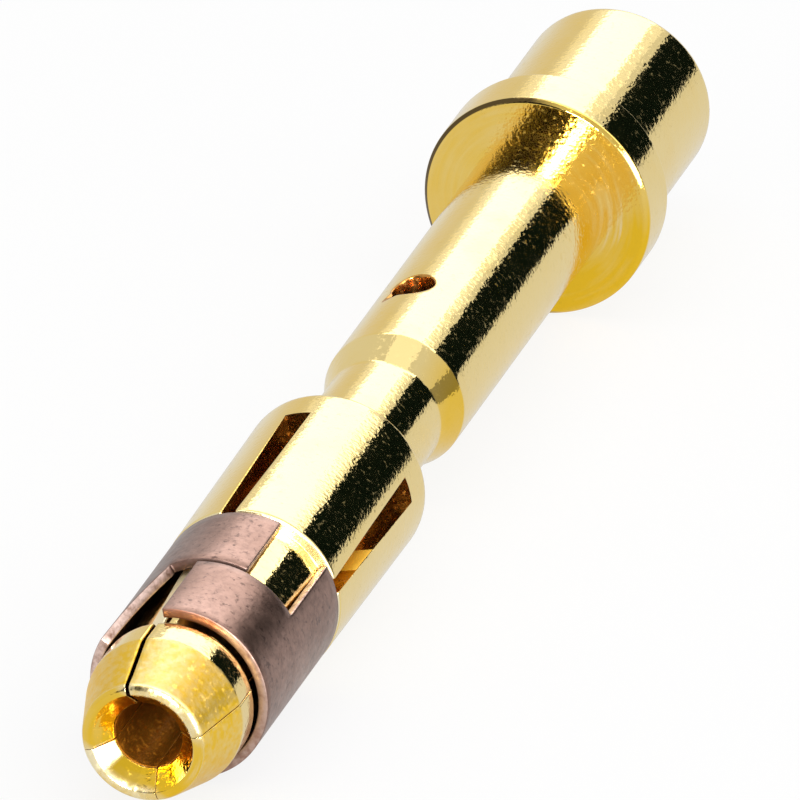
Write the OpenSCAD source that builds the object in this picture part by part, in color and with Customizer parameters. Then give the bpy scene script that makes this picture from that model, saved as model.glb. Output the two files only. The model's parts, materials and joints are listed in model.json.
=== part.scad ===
// Crimp contact, socket type, for a circular connector.
// A turned and gold plated body with four slotted tines, a rolled bronze
// spring sleeve round the tines, and a crimp bore for the wire at the rear.
// The axis lies along X. The origin is on the axis, in the front face of the
// collar. The nose points to +X and the wire comes in from -X.

/* [Nose] */
// Diameter of the nose at the tip
tip_d = 1.8; // [1.76:0.01:2]
// Length of the nose cone
cone_len = 1.03; // [0.8:0.01:1.3]
// Diameter of the land behind the cone
land_d = 2.36; // [2.2:0.01:2.36]
// Length of the land
land_len = 0.63; // [0.4:0.01:0.8]
// Diameter of the countersunk mouth
mouth_d = 1.7; // [1.3:0.01:1.72]
// Depth of the countersink
mouth_depth = 0.33; // [0.25:0.01:0.7]

/* [Socket] */
// Bore for the mating pin
socket_bore_d = 1.0; // [0.8:0.01:1.1]
// How far the bore runs past the slots
bore_past_slots = 0.25; // [0.1:0.01:0.4]
// Point angle of the drills
drill_angle = 118; // [90:1:140]
// Diameter of the squeezed tines just behind the land
recess_d = 2.0; // [1.8:0.01:2.2]
// Length of the bay that holds the sleeve, from the land to the shoulder
bay_len = 3.34; // [3.33:0.01:4.2]
// Length of the straight seat that carries the sleeve at the shoulder, before the tines taper
seat_len = 0.35; // [0.2:0.01:0.6]
// Diameter of the tines at the shoulder
shoulder_d = 2.69; // [2.6:0.01:2.76]
// Diameter of the socket at its rear end
socket_d = 2.77; // [2.7:0.01:2.9]
// Length of the socket from the shoulder to its rear end
socket_len = 3.97; // [3.5:0.01:4.5]
// Radius of the round on the rear edge of the socket
socket_round = 0.14; // [0.05:0.01:0.25]

/* [Slots] */
// Number of slots
slot_count = 4; // [2:1:6]
// Turn of the body from the position with its first slot and inspection hole at the top
slot_turn = -15; // [-45:1:45]
// Distance from the root of a slot to the rear end of the socket
slot_root_inset = 0.68; // [0.5:0.01:1]
// Width of a slot at its root
slot_root_w = 0.4; // [0.3:0.01:0.5]
// Width of a slot at the shoulder
slot_shoulder_w = 0.21; // [0.15:0.01:0.3]
// Width of a slot from the land to the tip, where the tines close up
slot_tip_w = 0.03; // [0.02:0.01:0.15]
// Width there of the first slot, which stands open
open_tip_w = 0.06; // [0.02:0.01:0.15]

/* [Neck and shank] */
// Diameter of the neck
neck_d = 1.78; // [1.5:0.01:2]
// Length of the neck
neck_len = 2.15; // [1.6:0.01:3]
// Length of the cone from the neck to the shank
lead_len = 0.59; // [0.2:0.01:1]
// Diameter of the shank
shank_d = 2.14; // [2.05:0.01:2.4]
// Length of the shank
shank_len = 6.78; // [5:0.01:9]

/* [Collar and barrel] */
// Diameter of the collar
collar_d = 3.48; // [3.2:0.01:4]
// Length of the collar
collar_len = 0.9; // [0.6:0.01:1.4]
// Chamfer on the front edge of the collar
collar_chamfer = 0.06; // [0.02:0.01:0.15]
// Diameter of the rear barrel
barrel_d = 2.91; // [2.75:0.01:3.15]
// Length of the rear barrel
barrel_len = 3.04; // [2:0.01:4]
// Radius of the round on the rear edge of the barrel
barrel_round = 0.1; // [0.03:0.01:0.15]

/* [Wire bores] */
// Bore that the bare conductor is crimped in
crimp_bore_d = 1.5; // [1.2:0.01:1.6]
// Diameter of the inspection hole
hole_d = 0.64; // [0.4:0.01:0.8]
// Distance from the front edge of the shank to the inspection hole
hole_from_front = 1.72; // [1.4:0.01:2.5]
// How far the crimp bore runs past the middle of the inspection hole
bore_past_hole = 0.35; // [0.2:0.01:0.5]
// Diameter of the cup for the insulation
cup_d = 2.3; // [2:0.01:2.45]
// Depth of that cup
cup_depth = 2.82; // [1.5:0.01:3.4]
// Length of the funnel from the cup to the crimp bore
funnel_len = 0.4; // [0.2:0.01:0.6]

/* [Spring sleeve] */
// Outer diameter of the sleeve
sleeve_d = 2.68; // [2.66:0.01:2.8]
// Thickness of the sheet
sheet_t = 0.15; // [0.1:0.01:0.15]
// Length of the sleeve
sleeve_len = 3.28; // [2.6:0.01:3.3]
// Radial clearance between the sleeve and its seat
seat_clearance = 0.01; // [0.005:0.001:0.03]
// Gap between the rear edge of the sleeve and the shoulder
end_gap = 0.03; // [0.01:0.01:0.05]
// Turn of the middle of the lapped tongues from the top
seam_turn = 5; // [-180:1:180]
// Angle over which the front and rear tongues lie one behind the other
tongue_lap = 32; // [10:1:60]
// Length of the front tongue along the axis
tongue_len = 1.62; // [1:0.01:2.2]
// Width of the slit between the two tongues
slit_w = 0.09; // [0.05:0.01:0.2]
// Angle of the window in the rear half of the seam
rear_gap = 39; // [15:1:60]
// Angle of the gap in the front half of the seam
front_gap = 20; // [10:1:40]
// Angle by which that gap widens towards the front edge
front_flare = 25; // [0:1:35]

/* [Hidden] */
$fn = 96;
over = 0.5;
x_shank = shank_len;
x_lead = x_shank + lead_len;
x_socket = x_lead + neck_len;
x_root = x_socket + slot_root_inset;
x_shoulder = x_socket + socket_len;
x_land = x_shoulder + bay_len;
x_cone = x_land + land_len;
x_tip = x_cone + cone_len;
x_end = -collar_len - barrel_len;
x_hole = x_shank - hole_from_front;
x_sleeve = x_shoulder + end_gap;
sleeve_bore_d = sleeve_d - 2*sheet_t;
seat_d = sleeve_bore_d - 2*seat_clearance;
rear_tongue_len = sleeve_len - tongue_len - slit_w;

// Turns children so that their own Z axis lies along X
module along_x() {
    rotate([90, 0, 90]) children();
}

// Turns children about the axis by an angle from the top, positive towards +Y
module about_axis(angle) {
    rotate([-angle, 0, 0]) children();
}

// The corner between a rounded edge that faces the rear and its sharp outline
module rear_corner(r, x, radius) {
    translate([r - radius, x + radius]) difference() {
        translate([0, -radius - over]) square([radius + over, radius + over]);
        circle(radius);
    }
}

// Half section of the turned blank: radius to the right, station along X upwards
module blank_section() {
    difference() {
        polygon([
            [0, x_end], [barrel_d/2, x_end], [barrel_d/2, -collar_len], [collar_d/2, -collar_len],
            [collar_d/2, -collar_chamfer], [collar_d/2 - collar_chamfer, 0], [shank_d/2, 0],
            [shank_d/2, x_shank], [neck_d/2, x_lead], [neck_d/2, x_socket], [socket_d/2, x_socket],
            [shoulder_d/2, x_shoulder], [seat_d/2, x_shoulder], [seat_d/2, x_shoulder + seat_len],
            [recess_d/2, x_land], [land_d/2, x_land],
            [land_d/2, x_cone], [tip_d/2, x_tip], [0, x_tip]
        ]);
        rear_corner(barrel_d/2, x_end, barrel_round);
        rear_corner(socket_d/2, x_socket, socket_round);
    }
}

// Half section of the pin bore: countersunk mouth, bore and drill point
module socket_bore_section() {
    bottom = x_root - bore_past_slots;
    point = socket_bore_d/2/tan(drill_angle/2);
    slope = (mouth_d - socket_bore_d)/2/mouth_depth;
    polygon([
        [0, bottom - point], [socket_bore_d/2, bottom], [socket_bore_d/2, x_tip - mouth_depth],
        [mouth_d/2 + slope*over, x_tip + over], [0, x_tip + over]
    ]);
}

// Half section of the wire bores: insulation cup, funnel, crimp bore and drill point
module wire_bore_section() {
    bottom = x_hole + bore_past_hole;
    point = crimp_bore_d/2/tan(drill_angle/2);
    x_cup = x_end + cup_depth;
    polygon([
        [0, x_end - over], [cup_d/2, x_end - over], [cup_d/2, x_cup],
        [crimp_bore_d/2, x_cup + funnel_len], [crimp_bore_d/2, bottom], [0, bottom + point]
    ]);
}

// One slot at the top: wide at its root, narrower at the shoulder, nearly closed from the land to the tip
module slot(tip_w) {
    linear_extrude(socket_d/2 + over) polygon([
        [x_root, -slot_root_w/2], [x_shoulder, -slot_shoulder_w/2], [x_land, -tip_w/2], [x_tip + over, -tip_w/2],
        [x_tip + over, tip_w/2], [x_land, tip_w/2], [x_shoulder, slot_shoulder_w/2], [x_root, slot_root_w/2]
    ]);
}

// The turned body with its bores, slots and inspection hole
module contact_body() color("gold") about_axis(slot_turn) difference() {
    along_x() rotate_extrude() blank_section();
    along_x() rotate_extrude() socket_bore_section();
    along_x() rotate_extrude() wire_bore_section();
    for (i = [0 : slot_count - 1])
        about_axis(i*360/slot_count) slot(i == 0 ? open_tip_w : slot_tip_w);
    translate([x_hole, 0, 0]) cylinder(d = hole_d, h = shank_d/2 + over);
}

// A wedge cut out of the sleeve, from one angle to another and between two stations
module sleeve_cut(from, to, x0, x1) {
    reach = sleeve_d/2 + over;
    side = reach*tan((to - from)/2);
    about_axis((from + to)/2) translate([x0, 0, 0]) along_x() linear_extrude(x1 - x0)
        polygon([[0, 0], [side, reach], [-side, reach]]);
}

// The slanted edge that widens the front gap, cut straight through the wall
module flare_cut(edge, x0, x1) {
    slope = sleeve_d/2*tan(front_flare)/(x1 - x0);
    run = slope*(x1 + over - x0);
    inside = sleeve_bore_d/2*sin(front_gap/2);
    about_axis(edge) linear_extrude(sleeve_d/2 + over)
        polygon([[x0, 0], [x1 + over, -run], [x1 + over, inside], [x0, inside]]);
}

// The rolled sheet with its stepped seam: two tongues, a slit, a front gap and a rear window
module spring_sleeve() color("rosybrown") {
    x_front = x_sleeve + sleeve_len;
    x_slit = x_sleeve + rear_tongue_len;
    front_edge = seam_turn - tongue_lap/2;
    rear_edge = seam_turn + tongue_lap/2;
    difference() {
        along_x() rotate_extrude()
            translate([sleeve_bore_d/2, x_sleeve]) square([sheet_t, sleeve_len]);
        sleeve_cut(rear_edge, rear_edge + rear_gap, x_sleeve - over, x_slit + slit_w);
        sleeve_cut(front_edge - front_gap, front_edge, x_slit, x_front + over);
        sleeve_cut(front_edge - front_gap/2, rear_edge + rear_gap/2, x_slit, x_slit + slit_w);
        flare_cut(front_edge - front_gap, x_slit + slit_w, x_front);
    }
}

contact_body();
spring_sleeve();
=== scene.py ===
import json

import bmesh
import bpy
import numpy as np
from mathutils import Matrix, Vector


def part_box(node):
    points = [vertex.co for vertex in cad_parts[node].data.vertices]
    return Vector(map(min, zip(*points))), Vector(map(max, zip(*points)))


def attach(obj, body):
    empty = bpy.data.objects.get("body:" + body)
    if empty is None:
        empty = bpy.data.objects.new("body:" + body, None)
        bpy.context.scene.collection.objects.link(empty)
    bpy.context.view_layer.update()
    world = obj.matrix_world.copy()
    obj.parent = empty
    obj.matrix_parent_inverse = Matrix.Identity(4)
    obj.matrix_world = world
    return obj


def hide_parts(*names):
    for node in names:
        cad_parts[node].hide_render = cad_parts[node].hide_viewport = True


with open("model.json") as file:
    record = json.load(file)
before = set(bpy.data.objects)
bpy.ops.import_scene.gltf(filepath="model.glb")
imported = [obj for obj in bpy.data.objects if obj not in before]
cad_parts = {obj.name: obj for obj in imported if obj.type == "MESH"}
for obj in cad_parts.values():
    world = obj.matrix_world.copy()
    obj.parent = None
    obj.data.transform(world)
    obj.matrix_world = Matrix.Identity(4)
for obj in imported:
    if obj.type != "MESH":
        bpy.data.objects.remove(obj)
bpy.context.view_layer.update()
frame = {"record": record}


# Contact body
# One brass bar, turned, drilled from both ends and cross drilled, sawn into four tines at the nose, then
# gold plated. After sawing the tines are squeezed together, so the slots close towards the tip.

MM = 0.001
mounts = {mount["name"]: mount["dims"] for mount in frame["record"]["mounts"]}
x_end, x_tip = (corner[0]/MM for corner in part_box("contact_body"))
collar_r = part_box("contact_body")[1][2]/MM
pin_r = mounts["socket_bore"]["r_mm"]
wire_r = mounts["crimp_bore"]["r_mm"]
cup_r = mounts["insulation_cup"]["r_mm"]
x_cup = x_end + mounts["insulation_cup"]["length_mm"]
funnel_len = 0.4
x_wire_end = x_cup + funnel_len + mounts["crimp_bore"]["length_mm"]

tip_r, land_r, rim_r, mouth_r = 0.9, 1.18, 0.79, 0.77
recess_r, seat_r, shoulder_r, socket_r = 1.0, 1.18, 1.345, 1.385
neck_r, shank_r, barrel_r = 0.89, 1.07, 1.455
cone_len, land_len, mouth_depth = 1.03, 0.63, 0.3
bay_len, seat_len, socket_len, neck_len, lead_len = 3.34, 0.35, 3.97, 2.15, 0.59
collar_len, collar_chamfer = 0.9, 0.06
x_cone = x_tip - cone_len
x_land = x_cone - land_len
x_shoulder = x_land - bay_len
x_socket = x_shoulder - socket_len
x_lead = x_socket - neck_len
x_shank = x_lead - lead_len

slot_turn = np.radians(-15)
slot_root_inset, slot_root_w, slot_shoulder_w = 0.68, 0.4, 0.21
slot_tip_w = np.array([0.06, 0.01, 0.01, 0.01])
x_root = x_socket + slot_root_inset
root_r = np.interp(x_root, [x_socket, x_shoulder], [socket_r, shoulder_r])
pin_past_slots, drill_angle = 0.25, np.radians(118)
x_pin_end = x_root - pin_past_slots
drill_slope = 1/np.tan(drill_angle/2)

hole_r, hole_from_front = 0.32, 1.72
x_hole = x_shank - hole_from_front
nick_len, nick_turn, nick_width, nick_fade = 0.2, np.radians(-42), 0.2, 1.2

# Codes of the face attribute inside: below 0 the plating is sawn or carries a painted highlight strip, 0 is
# the outer skin, and from there up a face lies deeper in a slot or a bore and takes more painted shade
SAWN, PAINTED_STRIP, SKIN = -1, -0.4, 0
LIT_WALL, PIN_BORE, WALL, DEEP, DARK_WALL = 0.4, 0.6, 0.8, 1, 1.5


def rounded(corners, steps=5, hold=1.7):
    """Outline through corners (station, radius, round). Each inner corner becomes a parabola that leaves both
    sides at its round's distance from the corner. A point at hold times that distance on each side keeps the
    flats flat."""
    corners = np.array(corners)
    points, reach = corners[:, :2], corners[1:-1, 2, None, None]
    middle = points[1:-1, None]
    back = points[:-2, None] - middle
    ahead = points[2:, None] - middle
    back = back/np.linalg.norm(back, axis=-1, keepdims=True)*reach
    ahead = ahead/np.linalg.norm(ahead, axis=-1, keepdims=True)*reach
    s = np.linspace(0, 1, steps + 1)[None, :, None]
    curve = middle + back*(1 - s)**2 + ahead*s**2
    bends = np.concatenate([middle + hold*back, curve, middle + hold*ahead], axis=1).reshape(-1, 2)
    return np.concatenate([points[:1], bends, points[-1:]])


def about_axis(x, r, turn):
    """Points at station x and radius r, turned from the top towards +Y: (x, r sin turn, r cos turn)."""
    return np.stack(np.broadcast_arrays(x, r*np.sin(turn), r*np.cos(turn)), axis=-1)


def weld(name, patches, closed=True, join=0.0002, crease=32):
    """One mesh object from grid patches (points by row and column, code of the face attribute inside, faces
    that stay). Points within the join distance become one, and the faces of a closed shape turn outwards. On
    an open sheet they face outwards by themselves, because rows run along +X and columns round the axis.
    Edges that bend by more than the crease, in degrees, stay sharp."""
    points, quads, inside, start = [], [], [], 0
    for grid, code, stay in patches:
        corner = start + np.arange(grid[..., 0].size).reshape(grid.shape[:2])
        cells = np.stack([corner[:-1, :-1], corner[1:, :-1], corner[1:, 1:], corner[:-1, 1:]], axis=-1)
        kept = np.broadcast_to(stay, cells.shape[:2])
        points.append(grid.reshape(-1, 3)*MM)
        quads.append(cells[kept])
        inside.append(np.broadcast_to(code, cells.shape[:2])[kept])
        start += corner.size
    mesh = bpy.data.meshes.new(name)
    mesh.from_pydata(np.concatenate(points), [], np.concatenate(quads).tolist())
    attribute = mesh.attributes.new("inside", "FLOAT", "FACE")
    attribute.data.foreach_set("value", np.concatenate(inside).astype(np.float32))
    shape = bmesh.new()
    shape.from_mesh(mesh)
    bmesh.ops.remove_doubles(shape, verts=shape.verts, dist=join*MM)
    if closed:
        bmesh.ops.recalc_face_normals(shape, faces=shape.faces)
    shape.to_mesh(mesh)
    shape.free()
    mesh.shade_smooth()
    mesh.set_sharp_from_angle(angle=np.radians(crease))
    piece = bpy.data.objects.new(name, mesh)
    bpy.context.scene.collection.objects.link(piece)
    return piece


SLOT_CELLS, TINE_CELLS, WALL_CELLS, PAINTED_STRIP_CELLS = 6, 40, 3, 8


def ring_turns(edge):
    """Turns of one full ring from the slot opposite the first one: even steps across each slot, whose edges
    stand at plus and minus edge from its middle, and even steps across each tine."""
    half = np.linspace(0, edge, SLOT_CELLS//2 + 1)
    tine = np.linspace(edge, np.pi/2 - edge, TINE_CELLS + 1)
    quarter = np.concatenate([half[:-1], tine, (np.pi/2 - half[::-1])[1:-1]])
    turns = (np.radians([-180, -90, 0, 90])[:, None] + quarter).ravel()
    return slot_turn + np.append(turns, np.pi)


# Turned skin behind the slots: drill point, crimp bore, cup, rear end, barrel, collar, shank, neck, socket
HOLE_ROWS, HOLE_TINE_CELLS, HOLE_RINGS = 20, 15, 6
hole_window, drill_round = 0.5, 0.005
root_edge = np.arcsin(slot_root_w/2/root_r)
window_x = np.linspace(x_hole - hole_window, x_hole + hole_window, HOLE_ROWS + 1)
squeezed_x = np.interp(window_x, [x_hole, window_x[-1]], [x_hole, x_wire_end - 2*drill_round])
wire_x = np.where(window_x < x_hole, window_x, squeezed_x)
rear_rows = rounded([
    (window_x[0], wire_r, 0), (x_cup + funnel_len, wire_r, 0.03), (x_cup, cup_r, 0.03),
    (x_end, cup_r, 0.03), (x_end, barrel_r, 0.1), (-collar_len, barrel_r, 0.02),
    (-collar_len, collar_r, 0.03), (-collar_chamfer, collar_r, 0.016), (0, collar_r - collar_chamfer, 0.016),
    (0, shank_r, 0), (window_x[0], shank_r, 0),
])
front_rows = rounded([
    (window_x[-1], shank_r, 0), (x_shank, shank_r, 0.03), (x_lead, neck_r, 0.05), (x_socket, neck_r, 0.03),
    (x_socket, socket_r, 0.14), (x_root, root_r, 0),
])
drill_rows = rounded([
    (x_wire_end + wire_r*drill_slope, 0, 0), (x_wire_end, wire_r, drill_round), (wire_x[-1], wire_r, 0),
])
wire_band = np.stack([wire_x[::-1], np.full_like(wire_x, wire_r)], axis=1)
shank_band = np.stack([window_x, np.full_like(window_x, shank_r)], axis=1)
turned = np.concatenate([drill_rows, wire_band[1:-1], rear_rows, shank_band[1:-1], front_rows])
turns = ring_turns(root_edge)
skin = about_axis(turned[:, None, 0], turned[:, None, 1], turns)

# The grid leaves a window round the inspection hole in the shank and in the crimp bore. Its first rows, up to
# the third bend at the cup's edge, lie in the wire bores
middle = 2*(SLOT_CELLS + TINE_CELLS)
reach = SLOT_CELLS//2 + HOLE_TINE_CELLS
columns = np.arange(len(turns) - 1)
in_columns = (columns >= middle - reach) & (columns < middle + reach)
row_x = (turned[:-1, 0] + turned[1:, 0])/2
row_r = np.minimum(turned[:-1, 1], turned[1:, 1])
in_rows = (row_r == shank_r) & (np.abs(row_x - x_hole) < hole_window)
in_rows |= (row_r == wire_r) & (row_x > wire_x[0]) & (row_x < wire_x[-1])
wire_bends, rows_of_bend = 3, 8
wire_rows = len(drill_rows) + HOLE_ROWS - 1 + wire_bends*rows_of_bend
in_wire_bore = np.arange(len(row_x))[:, None] < wire_rows
stay = ~(in_rows[:, None] & in_columns)
patches = [(skin, SKIN, stay & ~in_wire_bore), (skin, DEEP, stay & in_wire_bore)]

# Inspection hole: rings from the window in the shank to the rim, down the wall and out to the window in the
# bore. The nick is a bell curve round one point of the rim
side = turns[middle - reach:middle + reach + 1] - slot_turn
shank_border, wire_border = (np.concatenate([
    np.full(2*reach, x[0]), x[:-1], np.full(2*reach, x[-1]), x[::-1]]) for x in (window_x, wire_x))
border_turn = np.concatenate([
    side[:-1], np.full(HOLE_ROWS, side[-1]), side[::-1][:-1], np.full(HOLE_ROWS + 1, side[0])])
around = np.arctan2(shank_r*border_turn, shank_border - x_hole)
nick = nick_len*np.exp(-((around - nick_turn)/nick_width)**2)


def hole_ring(border_x, surface_r, radius, share):
    """Ring on a cylinder of surface_r, a share of the way from the window's border to a circle about the
    hole's middle, both as station and turn."""
    x = border_x + (x_hole + radius*np.cos(around) - border_x)*share
    turn = border_turn + (np.arcsin(radius*np.sin(around)/surface_r) - border_turn)*share
    return about_axis(x, surface_r, slot_turn + turn)


hole_edge = 0.03
shares = np.linspace(0, 1, HOLE_RINGS + 1)
rim = [hole_ring(shank_border, shank_r, hole_r + hole_edge + nick, share) for share in shares]
lip = [hole_ring(
    shank_border, shank_r - hole_edge*(1 - np.cos(bend)),
    hole_r + hole_edge*(1 - np.sin(bend)) + nick*np.cos(bend/nick_fade), 1)
    for bend in np.radians([30, 60, 90])]
bottom = [hole_ring(wire_border, wire_r, hole_r, share) for share in shares[::-1]]
patches.append((np.stack(rim), SKIN, True))
patches.append((np.stack(rim[-1:] + lip + bottom[:1]), DEEP, True))
patches.append((np.stack(bottom), DEEP, True))

# Tines: outer rows to the tip and bore rows back to the root, in step with each other. The rows at bright_x
# bound the patch that the saw left bright in the second slot
tine_round, land_round, mouth_round = np.array([0.03, 0.018, 0.018, 0.018]), 0.16, 0.04
outer_rim_round, mouth_rim_round, tine_hold = 0.1, 0.015, 1.05
behind_mouth = 0.15
x_mouth = x_tip - mouth_depth
x_nose = x_mouth - behind_mouth
nose_r, ring_r = np.interp([x_nose, x_mouth], [x_cone, x_tip], [land_r, tip_r])
bright_x = np.array([11.9, 12.65])
bright_r = np.interp(bright_x, [x_root, x_shoulder], [root_r, shoulder_r])
outer = rounded([
    (x_root, root_r, 0), (bright_x[0], bright_r[0], 0.05), (bright_x[1], bright_r[1], 0.05),
    (x_shoulder, shoulder_r, 0.06), (x_shoulder, seat_r, 0.02), (x_shoulder + seat_len, seat_r, 0.1),
    (x_land, recess_r, 0.01), (x_land, land_r, land_round), (x_cone, land_r, 0.05), (x_nose, nose_r, 0),
], hold=tine_hold)
passed = np.append(0, np.cumsum(np.linalg.norm(np.diff(outer, axis=0), axis=1)))
inner = np.stack([x_root + (x_nose - x_root)*passed/passed[-1], np.full_like(passed, pin_r)], axis=1)


def to_rim(back, start_r, bend_r, end_r, edge_round):
    """Rows carried on from x_nose to the rim at the tip, with a round at the mouth's depth and at the tip."""
    front = rounded([
        (x_nose, start_r, 0), (x_mouth, bend_r, mouth_round), (x_tip, end_r, edge_round), (x_tip, rim_r, 0),
    ], steps=6, hold=tine_hold)
    return np.concatenate([back[:-1], front])


def left_normal(rows):
    """Unit normals of an outline, on the left of its run: (-dr, dx) over their length."""
    run = np.gradient(rows, axis=0)
    return np.stack([-run[:, 1], run[:, 0]], axis=1)/np.linalg.norm(run, axis=1)[:, None]


outer = to_rim(outer, nose_r, ring_r, tip_r, outer_rim_round)
inner = to_rim(inner, pin_r, pin_r, mouth_r, mouth_rim_round)
rows = np.concatenate([outer, inner[::-1]])
normals = np.concatenate([left_normal(outer), -left_normal(inner)[::-1]])

# Each tine lies between slot walls parallel to its slots' middles, with rounded edges that fade out at the
# root and shrink at the tip
row_x, row_r = rows[None, :, :1], rows[None, :, 1:]
closing = np.clip((row_x - x_shoulder)/(x_land - x_shoulder), 0, 1)
wedge = np.interp(row_x, [x_root, x_shoulder], [slot_root_w, slot_shoulder_w])
half_w = (wedge + (slot_tip_w[:, None, None] - slot_shoulder_w)*closing)/2
fade_len, tip_share = 0.2, 0.15
soften = np.clip((row_x - x_root)/fade_len, 0, 1)*np.clip((x_tip - row_x)/fade_len, tip_share, 1)
soften = tine_round[:, None, None]*soften
bend = np.radians([90, 60, 30, 0])
depth = soften*(1 - np.cos(bend))
edge_x = row_x - depth*normals[None, :, :1]
edge_r = row_r - depth*normals[None, :, 1:]
edge_turn = np.arcsin((half_w + soften*(1 - np.sin(bend)))/edge_r)
next_x, next_r, next_turn = (np.roll(v, -1, axis=0)[..., ::-1] for v in (edge_x, edge_r, edge_turn))
slots = slot_turn + np.radians([0, 90, 180, 270])[:, None, None]
share = np.linspace(0, 1, TINE_CELLS + 1)[1:-1]
left, right = slots + edge_turn, slots + np.pi/2 - next_turn
across = left[..., -1:] + (right[..., :1] - left[..., -1:])*share
plain = np.ones_like(across)
tine_x = np.concatenate([edge_x, row_x*plain, next_x], axis=-1)
tine_r = np.concatenate([edge_r, row_r*plain, next_r], axis=-1)
tines = about_axis(tine_x, tine_r, np.concatenate([left, across, right], axis=-1))

# Walls by number of the tine and its side. The last tine has a painted highlight strip beside the first slot,
# in the sleeve's gap
FIRST_SLOT, SECOND_SLOT, LAST_TINE = ((3, -1), (0, 0)), ((0, -1), (1, 0)), 3
through = np.linspace(0, 1, WALL_CELLS + 1)[:, None]
outer_x = outer[:-1, :1]
in_pin_bore = inner[::-1, :1][:-1] < x_mouth
in_bay = (outer_x > x_shoulder + seat_len) & (outer[1:, :1] < x_land)
beside_slot = np.arange(tines.shape[2] - 1) >= tines.shape[2] - 1 - PAINTED_STRIP_CELLS
for number, tine in enumerate(tines):
    skin, bore = tine[:len(outer)], tine[len(outer):]
    patches.append((skin, np.where(in_bay & beside_slot & (number == LAST_TINE), PAINTED_STRIP, SKIN), True))
    patches.append((bore, np.where(in_pin_bore, PIN_BORE, SKIN), True))
    for side in (0, -1):
        outside, inside = skin[:, side, None], bore[::-1, side, None]
        wall = outside + (inside - outside)*through
        wall[-2, 1:-1] = outside[-1]
        code = WALL
        if (number, side) in FIRST_SLOT:
            code = np.where(outer_x > x_land, DARK_WALL, WALL)
        if (number, side) in SECOND_SLOT:
            code = np.where((outer_x > bright_x[0]) & (outer_x < bright_x[1]), SAWN, LIT_WALL)
        patches.append((wall, code, True))

# Root of each slot, and the pin bore from there to its drill point
pin_edge = np.arcsin(slot_root_w/2/pin_r)
share = np.linspace(0, 1, SLOT_CELLS + 1)*2 - 1
for turn in slots.ravel():
    outside = about_axis(x_root, root_r, turn + root_edge*share)
    inside = about_axis(x_root, pin_r, turn + pin_edge*share)
    patches.append((outside + (inside - outside)*through[:, None], DEEP, True))
pin_rows = rounded([(x_root, pin_r, 0), (x_pin_end, pin_r, 0.03), (x_pin_end - pin_r*drill_slope, 0, 0)])
patches.append((about_axis(pin_rows[:, None, 0], pin_rows[:, None, 1], ring_turns(pin_edge)), DEEP, True))

body = weld("contact_body_plated", patches)


def node(tree, kind, inputs=(), **settings):
    """New shader node of that kind. Inputs are values, or the outputs of other nodes that are linked in."""
    made = tree.nodes.new("ShaderNode" + kind)
    for name, value in settings.items():
        setattr(made, name, value)
    for name, value in dict(inputs).items():
        if isinstance(value, bpy.types.NodeSocket):
            tree.links.new(value, made.inputs[name])
        else:
            made.inputs[name].default_value = value
    return made


def metal(name, piece):
    """Empty metal material on a piece: its tree, its principled shader and the object's coordinates in mm."""
    material = bpy.data.materials.new(name)
    material.use_nodes = True
    piece.data.materials.append(material)
    tree = material.node_tree
    shader = tree.nodes["Principled BSDF"]
    shader.inputs["Metallic"].default_value = 1
    place = node(tree, "TexCoord").outputs["Object"]
    place = node(tree, "Mapping", {"Vector": place, "Scale": (1/MM, 1/MM, 1/MM)}).outputs["Vector"]
    return tree, shader, place


def noise(tree, place, scale, detail=2.0, rough=0.5):
    """Noise that repeats about scale times in a millimetre."""
    made = node(tree, "TexNoise", {"Vector": place, "Scale": scale, "Detail": detail, "Roughness": rough})
    return made.outputs["Fac"]


def ramp(tree, factor, low, high, start, end):
    """Factor from low to high mapped to start to end, held at both ends."""
    limits = {"From Min": low, "From Max": high, "To Min": start, "To Max": end}
    return node(tree, "MapRange", {"Value": factor, **limits}).outputs["Result"]


def calc(tree, operation, first, second=0):
    """Result of a sum on one or two values."""
    return node(tree, "Math", {0: first, 1: second}, operation=operation).outputs[0]


def plus(tree, first, *others):
    """All the values added up."""
    for value in others:
        first = calc(tree, "ADD", first, value)
    return first


def times(tree, first, *others):
    """All the values multiplied."""
    for value in others:
        first = calc(tree, "MULTIPLY", first, value)
    return first


def off(tree, value, centre):
    """How far a value lies from a centre, on either side."""
    return calc(tree, "ABSOLUTE", calc(tree, "SUBTRACT", value, centre))


def has_code(tree, inside, code, margin=0.05):
    """1 on the faces whose attribute is within the margin of a code, and 0 on the others."""
    return node(tree, "Math", {0: inside, 1: code, 2: margin}, operation="COMPARE").outputs[0]


def blend_colours(tree, factor, first, second):
    """Colour between first and second by factor."""
    made = node(tree, "Mix", {"Factor": factor}, data_type="RGBA")
    for socket, value in ((made.inputs[6], first), (made.inputs[7], second)):
        if isinstance(value, bpy.types.NodeSocket):
            tree.links.new(value, socket)
        else:
            socket.default_value = (*value, 1)
    return made.outputs[2]


# Gold plating: pale on the round lengths and richer on the turned faces and cones, in part a painted tone for
# how bright their reflections are. Painted shade turns it brown in the bores and slots, and painted
# highlights make it paler in patches
tree, shader, place = metal("gold_plating", body)
PALE_GOLD, RICH_GOLD, SHADE_GOLD = (0.93, 0.73, 0.31), (0.93, 0.585, 0.03), (0.58, 0.29, 0.07)
HIGHLIGHT_GOLD, DARK_REFLECTION_LINE, DARK_SLOT = (0.96, 0.88, 0.62), (0.12, 0.08, 0.03), (0.1, 0.04, 0.02)
BORE_BROWN = (0.42, 0.16, 0.015)

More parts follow.
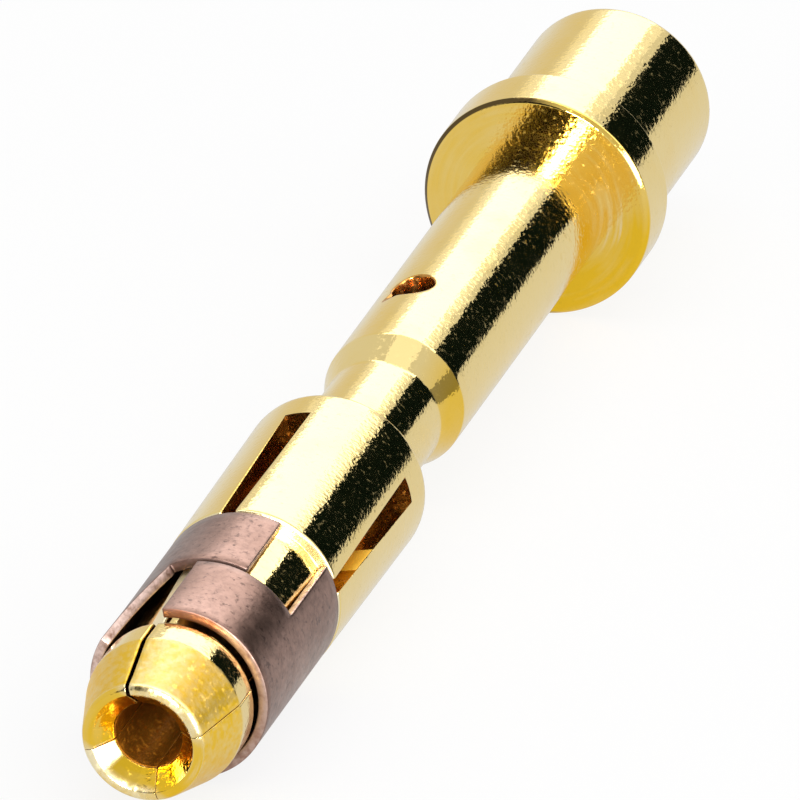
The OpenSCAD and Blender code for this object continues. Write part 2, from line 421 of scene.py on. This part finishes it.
# Where a point lies: station and sides in mm, radius, share of each side in it, and how far it faces the nose
forward = node(tree, "SeparateXYZ", {0: node(tree, "TexCoord").outputs["Normal"]}).outputs["X"]
station, side_y, side_z = node(tree, "SeparateXYZ", {0: place}).outputs
radius = calc(tree, "SQRT", plus(tree, calc(tree, "POWER", side_y, 2), calc(tree, "POWER", side_z, 2)))
turn_y = calc(tree, "DIVIDE", side_y, radius)
turn_z = calc(tree, "DIVIDE", side_z, radius)
inside = node(tree, "Attribute", attribute_name="inside").outputs["Fac"]
sawn = has_code(tree, inside, SAWN)
highlight_strip = has_code(tree, inside, PAINTED_STRIP)
pin_bore = has_code(tree, inside, PIN_BORE)
dark_wall = has_code(tree, inside, DARK_WALL)
nose_from, lead_until = (16.5, 17), (7.5, 8)
on_nose = ramp(tree, station, *nose_from, 0, 1)
on_cone = times(tree, on_nose, ramp(tree, forward, 0.08, 0.2, 0, 1), ramp(tree, forward, 0.35, 0.6, 1, 0))
on_face = ramp(tree, forward, 0.5, 0.62, 0, 1)
on_lead = times(
    tree, ramp(tree, forward, 0.15, 0.25, 0, 1), ramp(tree, forward, 0.35, 0.5, 1, 0),
    ramp(tree, station, *lead_until, 1, 0))

# Rich gold: in soft clouds all over, with specks on the nose cone, in turned rings on the faces, on the faces
# of the nose and where the saw went. Painted shade makes it richer on the sides of the nose cone, towards the
# lower right of the faces and on the right of the lead, and a painted reflection along the left flank
ring_pitch = 11
ring_place = node(tree, "CombineXYZ", {0: times(tree, radius, ring_pitch), 1: side_y, 2: side_z}).outputs[0]
rings = noise(tree, ring_place, 1)
clouds = ramp(tree, noise(tree, place, 1.3, 3), 0.3, 0.7, -0.12, 0.12)
specks = ramp(tree, noise(tree, place, 9, 3, 0.6), 0.35, 0.65, -0.3, 0.3)
# Painted shade: richer on both sides of the nose cone, over real specks
cone_specks_and_side_shade = plus(tree, ramp(tree, off(tree, side_y, 0.15), 0.15, 0.55, 0.2, 0.75), specks)
# Painted shade: richer towards the lower right of the faces, over the real turned rings
face_rings_and_shade = plus(
    tree, ramp(tree, calc(tree, "SUBTRACT", side_y, side_z), 0.75, 1.85, 0.55, 1),
    ramp(tree, rings, 0.3, 0.7, -0.15, 0.15), times(tree, on_nose, 0.3))
# Painted shade: richer on the right of the lead
lead_side_shade = ramp(tree, side_y, 0.5, 0.95, 0, 0.8)
# Painted reflection: a richer stripe along the left flank of the round lengths
flank_reflection = ramp(tree, off(tree, turn_y, -0.36), 0.08, 0.3, 0.5, 0)
flank_reflection = times(tree, flank_reflection, ramp(tree, forward, 0.1, 0.3, 1, 0))
rich = plus(
    tree, clouds, times(tree, on_cone, cone_specks_and_side_shade), times(tree, on_face, face_rings_and_shade),
    times(tree, on_lead, lead_side_shade), flank_reflection, sawn)
plating = blend_colours(tree, rich, PALE_GOLD, RICH_GOLD)

# Painted highlights in pale gold: two sides of the rim, the left of the mouth, the shoulder's face and the
# strip beside the first slot. Pale streaks, real turned rings with a painted highlight, run on the right of
# the faces
rim_from, rim_across = (x_tip - 0.1, x_tip - 0.03), (0, 0.5, 0.87)
across = node(tree, "VectorMath", {0: place, 1: rim_across}, operation="DOT_PRODUCT").outputs["Value"]
lumps = ramp(tree, noise(tree, place, 7, 1), 0.38, 0.6, 0.55, 1)
rim_highlight = ramp(tree, calc(tree, "ABSOLUTE", across), 0.48, 0.6, 0, 0.7)
rim_highlight = times(tree, rim_highlight, ramp(tree, station, *rim_from, 0, 1), lumps)
mouth_highlight = times(
    tree, ramp(tree, turn_y, -0.68, -0.8, 0, 0.85), ramp(tree, turn_z, -0.2, -0.26, 0, 1), on_nose, on_face)
shoulder_highlight = times(tree, on_face, ramp(tree, off(tree, station, x_shoulder), 0.05, 0.1, 0.65, 0))
painted_highlight = times(tree, highlight_strip, 0.8)
for highlight_place in (rim_highlight, mouth_highlight, shoulder_highlight):
    painted_highlight = calc(tree, "MAXIMUM", painted_highlight, highlight_place)
highlight_streaks = times(
    tree, on_face, ramp(tree, rings, 0.45, 0.7, 0, 0.7), ramp(tree, radius, 1.5, 1.3, 0, 1),
    ramp(tree, side_y, 0.5, 0.8, 0, 1), ramp(tree, side_z, -0.8, -0.3, 0, 1))
plating = blend_colours(tree, plus(tree, painted_highlight, highlight_streaks), plating, HIGHLIGHT_GOLD)

# Painted shade and reflection: a dark line on the left of the collar's edge, darker sides of the nose cone,
# and darker slots and bores
# Painted reflection: a dark line along the left of the collar's chamfer
edge = times(
    tree, ramp(tree, forward, 0.3, 0.5, 0, 1), ramp(tree, forward, 0.8, 0.95, 1, 0),
    ramp(tree, radius, collar_r - 0.09, collar_r - 0.06, 0, 1), ramp(tree, side_y, -0.1, 0.4, 1, 0))
# Painted shade: darker sides of the nose cone
dull_and_shade = ramp(tree, off(tree, turn_y, 0.6), 0.12, 0.4, 0.3, 0)
dull_and_shade = plus(tree, dull_and_shade, ramp(tree, turn_y, -0.35, -0.6, 0, 0.15))
plating = blend_colours(tree, edge, plating, DARK_REFLECTION_LINE)
plating = blend_colours(tree, times(tree, on_cone, dull_and_shade), plating, SHADE_GOLD)
# Painted shade: slots and bores darker the deeper they lie, the first slot's walls at the nose darkest and
# the pin bore brown
plating = blend_colours(tree, inside, plating, SHADE_GOLD)
plating = blend_colours(tree, dark_wall, plating, DARK_SLOT)
plating = blend_colours(tree, pin_bore, plating, BORE_BROWN)
tree.links.new(plating, shader.inputs["Base Color"])

# Polished in soft clouds with small dull spots, and duller on the cone, deeper in, where sawn and under the
# painted highlights
rough = ramp(tree, noise(tree, place, 3.0, 4), 0.3, 0.7, 0.06, 0.11)
spots = ramp(tree, noise(tree, place, 13, 1), 0.58, 0.74, 0, 0.17)
rough = plus(
    tree, rough, spots, times(tree, on_cone, 0.24), times(tree, inside, 0.1), times(tree, sawn, 0.95),
    times(tree, pin_bore, 0.25), times(tree, painted_highlight, 0.3))
tree.links.new(rough, shader.inputs["Roughness"])
bare = plus(tree, times(tree, sawn, 0.8), times(tree, highlight_strip, 0.5))
tree.links.new(calc(tree, "SUBTRACT", 1, bare), shader.inputs["Metallic"])

# Fine turning marks run round the axis, so gloss spreads across them, over a tumbled grain
shader.inputs["Anisotropic"].default_value = 0.6
shader.inputs["Anisotropic Rotation"].default_value = 0.25
tangent = node(tree, "Tangent", direction_type="RADIAL", axis="X")
tree.links.new(tangent.outputs["Tangent"], shader.inputs["Tangent"])
mark_scale, bump_height = (30, 0.5, 0.5), 0.01*MM
marks_place = node(tree, "Mapping", {"Vector": place, "Scale": mark_scale}).outputs["Vector"]
grain = node(tree, "Bump", {"Height": noise(tree, place, 15, 1), "Strength": 0.32, "Distance": bump_height})
marks = node(tree, "Bump", {
    "Height": noise(tree, marks_place, 1), "Strength": 0.05, "Distance": bump_height,
    "Normal": grain.outputs["Normal"]})
tree.links.new(marks.outputs["Normal"], shader.inputs["Normal"])

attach(body, "root")
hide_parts("contact_body")


# Spring sleeve
# A strip of thin bronze sheet, rolled round the tines so that it presses them on the pin. The seam is
# stepped: a front tongue and a rear tongue lie one behind the other, with a slit between them.

x_rear, x_front = (corner[0]/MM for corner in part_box("spring_sleeve"))
sleeve_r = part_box("spring_sleeve")[1][2]/MM
sheet_t, edge_bevel = 0.15, 0.02
seam_turn, tongue_lap, rear_gap, front_gap, front_flare = np.radians([5, 32, 39, 20, 25])
tongue_len, slit_w = 1.62, 0.09
corner_lift, lift_from = 0.02, 0.8
REAR_ROWS, FRONT_ROWS, WRAP_COLUMNS, REAR_COLUMNS, FRONT_COLUMNS = 9, 11, 133, 27, 37

# The wrap runs round from the window to the slanted edge, whose front corner stands a little proud, and the
# two tongues carry on from its ends: the rear one past the top, the front one back to it
rear_x = np.linspace(x_rear, x_front - tongue_len - slit_w, REAR_ROWS)
tongue_x = np.linspace(x_front - tongue_len, x_front, FRONT_ROWS)
front_edge, rear_edge = seam_turn - tongue_lap/2, seam_turn + tongue_lap/2
sheet_x = np.concatenate([rear_x, tongue_x])
ahead = np.clip((sheet_x - tongue_x[0])/tongue_len, 0, 1)[:, None]
start_turn = rear_edge + rear_gap
stop_turn = 2*np.pi + front_edge - front_gap - np.arcsin(np.tan(front_flare)*ahead)
share = np.linspace(0, 1, WRAP_COLUMNS)
sheet_turn = start_turn + (stop_turn - start_turn)*share
lifted = sleeve_r + corner_lift*ahead**2*np.clip((share - lift_from)/(1 - lift_from), 0, 1)**2
wrap = about_axis(sheet_x[:, None], lifted, sheet_turn)
rear_turn = np.linspace(stop_turn[0, 0], 2*np.pi + rear_edge, REAR_COLUMNS)
rear_tongue = about_axis(rear_x[:, None], sleeve_r, rear_turn)
front_tongue = about_axis(tongue_x[:, None], sleeve_r, np.linspace(front_edge, start_turn, FRONT_COLUMNS))
sheet = [(wrap, SKIN, True), (rear_tongue, SKIN, True), (front_tongue, SKIN, True)]
sleeve = weld("spring_sleeve_rolled", sheet, closed=False)
wall = sleeve.modifiers.new("wall", "SOLIDIFY")
wall.thickness = sheet_t*MM
wall.offset = -1
wall.material_offset_rim = 1
soft_edge = sleeve.modifiers.new("soft_edge", "BEVEL")
soft_edge.width = edge_bevel*MM
soft_edge.segments = 2
soft_edge.limit_method = "ANGLE"
soft_edge.angle_limit = np.radians(50)

# Bronze sheet: pink brown with darker clouds, a painted shade towards both sides, small dark stains and a
# dull rolled grain
tree, shader, place = metal("bronze_sheet", sleeve)
BRONZE, PINK_BRONZE, STAIN_AND_SHADE = (0.33, 0.195, 0.15), (0.44, 0.27, 0.215), (0.09, 0.05, 0.04)
side_y = node(tree, "SeparateXYZ", {0: place}).outputs["Y"]
clouds = ramp(tree, noise(tree, place, 1.1, 4), 0.35, 0.65, 0, 1)
# Painted shade: darker towards both sides of the sleeve, over real stains in small clouds
stains_and_side_shade = plus(
    tree, ramp(tree, side_y, 1.0, 1.25, 0, 0.24), ramp(tree, side_y, -0.3, -0.9, 0, 0.55),
    ramp(tree, noise(tree, place, 9, 4, 0.65), 0.35, 0.7, -0.1, 0.34))
specks = ramp(tree, noise(tree, place, 11, 3, 0.6), 0.57, 0.7, 0, 0.75)
bronze = blend_colours(tree, clouds, BRONZE, PINK_BRONZE)
bronze = blend_colours(tree, stains_and_side_shade, bronze, STAIN_AND_SHADE)
bronze = blend_colours(tree, specks, bronze, STAIN_AND_SHADE)
tree.links.new(bronze, shader.inputs["Base Color"])
tree.links.new(ramp(tree, noise(tree, place, 5, 3), 0.3, 0.7, 0.28, 0.36), shader.inputs["Roughness"])
rolled = node(tree, "Bump", {"Height": noise(tree, place, 18, 3), "Strength": 0.25, "Distance": bump_height})
tree.links.new(rolled.outputs["Normal"], shader.inputs["Normal"])

# Sheared edge of the sheet: bright bronze with dull patches, brown along the front lip and a painted shade in
# the slit
tree, shader, place = metal("bronze_edge", sleeve)
BRIGHT_BRONZE, DULL_BRONZE, LIP_BRONZE = (0.76, 0.57, 0.50), (0.25, 0.14, 0.10), (0.22, 0.085, 0.045)
lip_from, slit_from, slit_until = (16.5, 16.7), (15.0, 15.04), (15.13, 15.2)
station, side_y = node(tree, "SeparateXYZ", {0: place}).outputs[:2]
dull_and_shade = ramp(tree, noise(tree, place, 9, 2), 0.4, 0.75, 0, 1)
right_lip = times(tree, ramp(tree, station, *lip_from, 0, 0.55), ramp(tree, side_y, 0.2, 0.5, 0, 1))
top_lip = times(
    tree, ramp(tree, station, *lip_from, 0, 0.9), ramp(tree, side_y, -0.6, -0.4, 0, 1),
    ramp(tree, side_y, 0.5, 0.85, 1, 0))
# Painted shade: the cut edges in the slit turn dark
slit_shade = times(
    tree, ramp(tree, station, *slit_from, 0, 0.9), ramp(tree, station, *slit_until, 1, 0),
    ramp(tree, side_y, 0.5, 0.7, 1, 0))
cut = blend_colours(tree, dull_and_shade, BRIGHT_BRONZE, DULL_BRONZE)
cut = blend_colours(tree, right_lip, cut, DULL_BRONZE)
cut = blend_colours(tree, top_lip, cut, LIP_BRONZE)
cut = blend_colours(tree, slit_shade, cut, STAIN_AND_SHADE)
tree.links.new(cut, shader.inputs["Base Color"])
tree.links.new(ramp(tree, dull_and_shade, 0, 1, 0.4, 0.55), shader.inputs["Roughness"])

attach(sleeve, "root")
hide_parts("spring_sleeve")


# Studio
# The contact lies on a white sheet, on its collar and the front of its sleeve. Cards behind it give the
# bright and black bands along the metal, cards in front of it and above light or shade its faces and edges,
# and a soft box hangs over the nose. Only reflections show the cards.

def stage_card(name, corners, colour, glow):
    """Flat card through its corners, in mm, of a plain colour that glows with the strength given."""
    mesh = bpy.data.meshes.new(name)
    mesh.from_pydata(np.array(corners)*MM, [], [range(len(corners))])
    card = bpy.data.objects.new(name, mesh)
    bpy.context.scene.collection.objects.link(card)
    material = bpy.data.materials.new(name)
    material.use_nodes = True
    shader = material.node_tree.nodes["Principled BSDF"]
    shader.inputs["Base Color"].default_value = (*colour, 1)
    shader.inputs["Roughness"].default_value = 1
    shader.inputs["Specular IOR Level"].default_value = 0
    shader.inputs["Emission Color"].default_value = (1, 1, 1, 1)
    shader.inputs["Emission Strength"].default_value = glow
    mesh.materials.append(material)
    return card


# The sheet is white to the camera and a little darker in the metal, and keeps a share of its own shading, so
# that the shadow shows
PAPER, studio_level, glow_share = (0.9, 0.9, 0.9), 0.75, 0.85
floor_slope = (collar_r - sleeve_r)/(x_front + collar_chamfer)
floor_size = 450
floor_x = np.array([-1, 1, 1, -1])*floor_size
floor_y = np.array([-1, -1, 1, 1])*floor_size
floor_z = -collar_r + floor_slope*(floor_x + collar_chamfer)
floor = stage_card("floor", np.stack([floor_x, floor_y, floor_z], axis=1), PAPER, 0)
tree = floor.data.materials[0].node_tree
paths = node(tree, "LightPath").outputs
seen = calc(tree, "MAXIMUM", paths["Is Camera Ray"], paths["Is Glossy Ray"])
glow = node(tree, "Emission", {"Strength": ramp(tree, paths["Is Camera Ray"], 0, 1, studio_level, 1)})
mixed = node(tree, "MixShader", {
    0: times(tree, seen, glow_share), 1: tree.nodes["Principled BSDF"].outputs[0], 2: glow.outputs[0]})
tree.links.new(mixed.outputs[0], tree.nodes["Material Output"].inputs["Surface"])

world = bpy.data.worlds.new("studio")
bpy.context.scene.world = world
world.use_nodes = True
tree = world.node_tree
paths = node(tree, "LightPath").outputs
seen = calc(tree, "MAXIMUM", paths["Is Camera Ray"], paths["Is Transmission Ray"])
background = tree.nodes["Background"].inputs
tree.links.new(ramp(tree, seen, 0, 1, studio_level, 1), background["Strength"])
background["Color"].default_value = (1, 1, 1, 1)

# Camera: long lens along the photograph's line of sight, turned from the nose to the right and up
azimuth, elevation = np.radians([107.86, 26.04])
frame_w, lens, sensor = 11.613, 1600, 36
aim = np.array([6.455, -0.018, -0.152])
toward = np.array([
    np.sin(azimuth)*np.cos(elevation), -np.cos(azimuth)*np.cos(elevation), np.sin(elevation)])
camera = bpy.data.objects.new("camera", bpy.data.cameras.new("camera"))
bpy.context.scene.collection.objects.link(camera)
camera.data.lens = lens
camera.data.sensor_width = sensor
camera.location = (aim + toward*frame_w*lens/sensor)*MM
camera.rotation_euler = (np.pi/2 - elevation, 0, azimuth)
bpy.context.scene.camera = camera

# Behind the object, a reflection in a round length leaves at reflex_r from the axis for each mm, at a turn
# that sets its place across the metal: cards with sides along those turns give straight bands
behind = 80
reflex_r = np.tan(np.arccos(toward[0]))


def sector(first, last, near, far, back=behind):
    """Corners of a card behind the object, from one turn to another in degrees. Its near and far edges are
    given as shares of the distance from the axis at which reflections leave there."""
    turn = np.radians([first, first, last, last])
    return about_axis(-back, back*reflex_r*np.array([near, far, far, near]), turn)


def facing(direction, distance, wide, high):
    """Corners of a card that faces the frame's origin from a direction and distance, wide and high in degrees
    as seen from there."""
    ahead = np.array(direction)/np.linalg.norm(direction)
    across = np.cross([0, 0, 1], ahead)
    across = across/np.linalg.norm(across)*distance*np.tan(np.radians(wide/2))
    upward = np.cross(ahead, across)/np.linalg.norm(across)*distance*np.tan(np.radians(high/2))
    return ahead*distance + np.array([across + upward, upward - across, -across - upward, across - upward])


BLACK, GREEN_BLACK, SOOT = (0, 0, 0), (0.004, 0.008, 0.007), (0.01, 0.01, 0.01)
cards = [
    stage_card("light_card", sector(-37, 16, 0.4, 1.32), BLACK, 2.5),
    stage_card("light_edge_card", sector(-52, 29, 0.4, 1.35, 84), BLACK, 1.02),
    stage_card("window_card", sector(-37, 38, 1.36, 2.6), BLACK, 2.5),
    stage_card("dark_card", sector(38, 89, 0.35, 2.6), GREEN_BLACK, 0),
    stage_card("sky_card", facing((-0.45, 0.05, 0.88), 110, 34, 34), BLACK, 1.15),
    stage_card("right_dark_card", facing((-0.47, 0.86, 0.12), 140, 26, 30), BLACK, 0.3),
    stage_card("front_card", facing((0.8545, 0.13, 0.47), 200, 9, 26), BLACK, 80),
    stage_card("front_dark_card", facing((0.8545, -0.19, 0.46), 200, 24, 44), SOOT, 0),
    stage_card("front_shade_card", facing((0.8545, -0.24, 0.46), 210, 36, 60), BLACK, 0.06),
    stage_card("side_card", facing((0.55, 0.81, 0.2), 150, 26, 26), BLACK, 9),
    stage_card("lip_card", facing((0.5, 0.42, 0.76), 160, 46, 40), BLACK, 0.66),
]
for card in cards:
    card.visible_camera = card.visible_shadow = card.visible_diffuse = False

lamp_wide, lamp_long, lamp_away, radiance = 36*MM, 250*MM, 100, 2.2
lamp_from = np.array([0.05, 0.32, 0.95])
lamp = bpy.data.objects.new("soft_box", bpy.data.lights.new("soft_box", "AREA"))
bpy.context.scene.collection.objects.link(lamp)
lamp.data.shape = "RECTANGLE"
lamp.data.size = lamp_wide
lamp.data.size_y = lamp_long
lamp.data.energy = radiance*np.pi*lamp_wide*lamp_long
lamp.location = (np.array([x_tip, 0, 0]) + lamp_away*lamp_from)*MM
lamp.rotation_euler = (-np.arctan2(lamp_from[1], lamp_from[2]), np.arctan2(lamp_from[0], lamp_from[2]), 0)
bpy.context.scene.view_settings.view_transform = "Standard"
